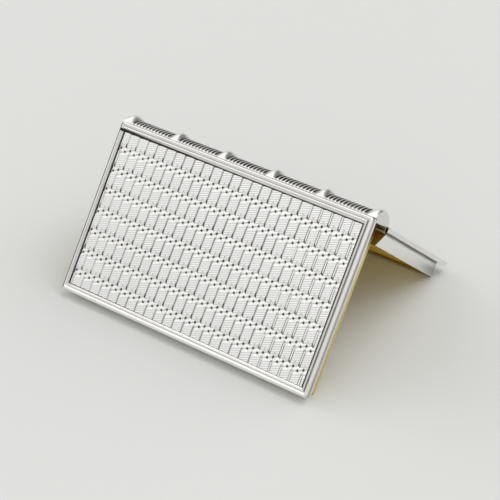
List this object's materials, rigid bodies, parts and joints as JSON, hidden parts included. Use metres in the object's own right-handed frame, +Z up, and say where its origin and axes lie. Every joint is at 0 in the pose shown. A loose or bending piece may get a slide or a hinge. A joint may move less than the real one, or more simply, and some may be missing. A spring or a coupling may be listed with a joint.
{
  "type": "vinaigrette box",
  "caption": "Small silver vinaigrette shaped like a book, with engine-turned covers, a reeded spine, a gilt interior and a hinged pierced grille over a sponge.",
  "frame": {"origin": "on the surface it stands on, under the middle of the open book standing like a tent", "axes": "+X along the hinge, +Y from the front cover to the back cover, +Z up"},
  "size_m": [0.038, 0.0332, 0.0192],
  "materials": {
    "silver": "polished silver with soft wear and a little tarnish in the hollows",
    "turned_silver": "engine-turned silver that reads pale and fine-lined",
    "gilt": "silver gilt, deep yellow and satin",
    "steel": "drawn wire, dull",
    "sponge": "dry natural sponge with fine pores"
  },
  "bodies": {
    "box": {"back_cover": "turned_silver", "base_border_fore": "silver", "base_border_left": "silver", "base_border_hinge": "silver", "base_border_right": "silver", "page_wall": "silver", "box_knuckle_1": "silver", "box_knuckle_2": "silver", "box_knuckle_3": "silver", "box_knuckle_4": "silver", "hinge_pin": "steel", "grille_ledge": "gilt", "grille_bracket_left": "gilt", "grille_bracket_right": "gilt", "grille_pin": "steel", "sponge": "sponge"},
    "lid": {"front_cover": "turned_silver", "lid_border_fore": "silver", "lid_border_right": "silver", "lid_border_spine": "silver", "lid_border_left": "silver", "lid_bezel": "gilt", "spine": "silver", "lid_knuckle_1": "silver", "lid_knuckle_2": "silver", "lid_knuckle_3": "silver"},
    "grille": {"grille": "gilt", "grille_knuckle": "gilt", "grille_tab": "gilt"}
  },
  "joints": [
    {"name": "lid_hinge", "type": "hinge", "parent": "box", "child": "lid", "pos_m": [0, 0.00022, 0.01559], "axis": [1, 0, 0], "range_deg": [0, 84.4]},
    {"name": "grille_hinge", "type": "hinge", "parent": "box", "child": "grille", "pos_m": [0, 0.00065, 0.01275], "axis": [-1, 0, 0], "range_deg": [0, 4.5]}
  ]
}
